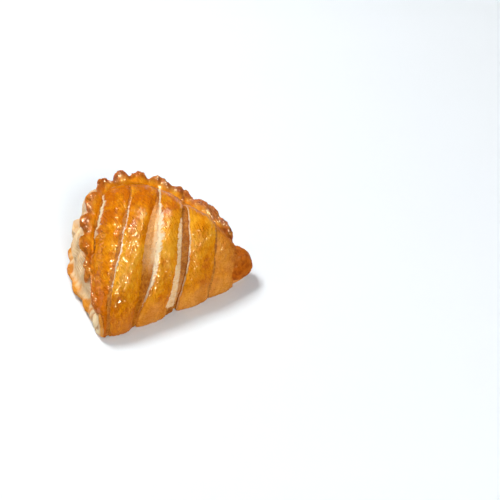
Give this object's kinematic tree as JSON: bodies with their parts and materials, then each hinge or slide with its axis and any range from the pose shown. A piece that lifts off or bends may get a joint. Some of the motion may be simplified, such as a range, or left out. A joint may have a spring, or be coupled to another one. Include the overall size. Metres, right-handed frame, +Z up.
{
  "type": "apple turnover",
  "caption": "Whole puff-pastry apple turnover, a fluted half-round parcel with a straight folded side, oblique slashes across its swollen crust and an egg-wash glaze.",
  "frame": {"origin": "middle of the bounding box's underside, on the surface that the turnover rests on", "axes": "+X along the straight folded side, +Y from the fold to the fluted back of the rim, +Z up"},
  "size_m": [0.1046, 0.0974, 0.0526],
  "materials": {
    "baked_crust": "baked, egg-washed puff pastry: glossy golden orange strips, red-brown flutes, matt cream layers at the side and in the slashes"
  },
  "bodies": {
    "root": {"turnover": "baked_crust"}
  },
  "joints": []
}
